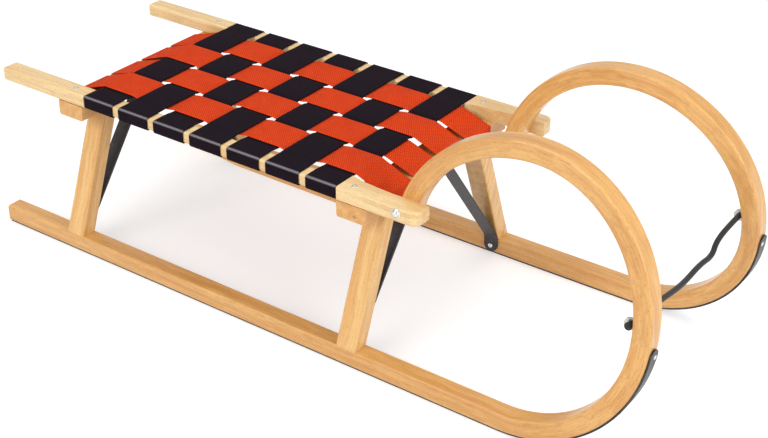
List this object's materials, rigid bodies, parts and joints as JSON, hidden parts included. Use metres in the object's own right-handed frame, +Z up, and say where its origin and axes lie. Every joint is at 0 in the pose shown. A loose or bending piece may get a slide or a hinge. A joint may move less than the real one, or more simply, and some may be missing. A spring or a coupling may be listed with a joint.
{
  "type": "wooden horn sled",
  "caption": "Wooden sled with bent runners rising into horn loops, splayed legs, steel braces, a red and black woven strap seat and a short pull rope.",
  "frame": {"origin": "on the ground under the middle of the sled's overall box", "axes": "+X forward towards the horns, +Y to the sled's left, +Z up"},
  "size_m": [1.0394, 0.376, 0.3678],
  "materials": {
    "beech_bent": "clear satin lacquer over steamed beech",
    "beech_rail": "clear satin lacquer over steamed beech",
    "beech_batten": "clear satin lacquer over steamed beech",
    "beech_leg": "clear satin lacquer over steamed beech",
    "beech_bar": "clear satin lacquer over steamed beech",
    "sole_steel": "dark lacquered flat steel, worn by snow",
    "brace_steel": "black satin coat",
    "eye_steel": "zinc plated",
    "black_webbing": "finely woven flat webbing",
    "red_webbing": "coarse rib woven flat webbing",
    "black_rope": "braided cord"
  },
  "bodies": {
    "root": {"runner_right": "beech_bent", "sole_right": "sole_steel", "rail_right": "beech_rail", "batten_right": "beech_batten", "leg_front_right": "beech_leg", "leg_rear_right": "beech_leg", "brace_front_right": "brace_steel", "brace_rear_right": "brace_steel", "rope_eye_right": "eye_steel", "runner_left": "beech_bent", "sole_left": "sole_steel", "rail_left": "beech_rail", "batten_left": "beech_batten", "leg_front_left": "beech_leg", "leg_rear_left": "beech_leg", "brace_front_left": "brace_steel", "brace_rear_left": "brace_steel", "rope_eye_left": "eye_steel", "crossbar_front": "beech_bar", "crossbar_rear": "beech_bar", "cross_straps": "black_webbing", "long_straps": "red_webbing", "pull_rope": "black_rope", "rope_knots": "black_rope"}
  },
  "joints": []
}
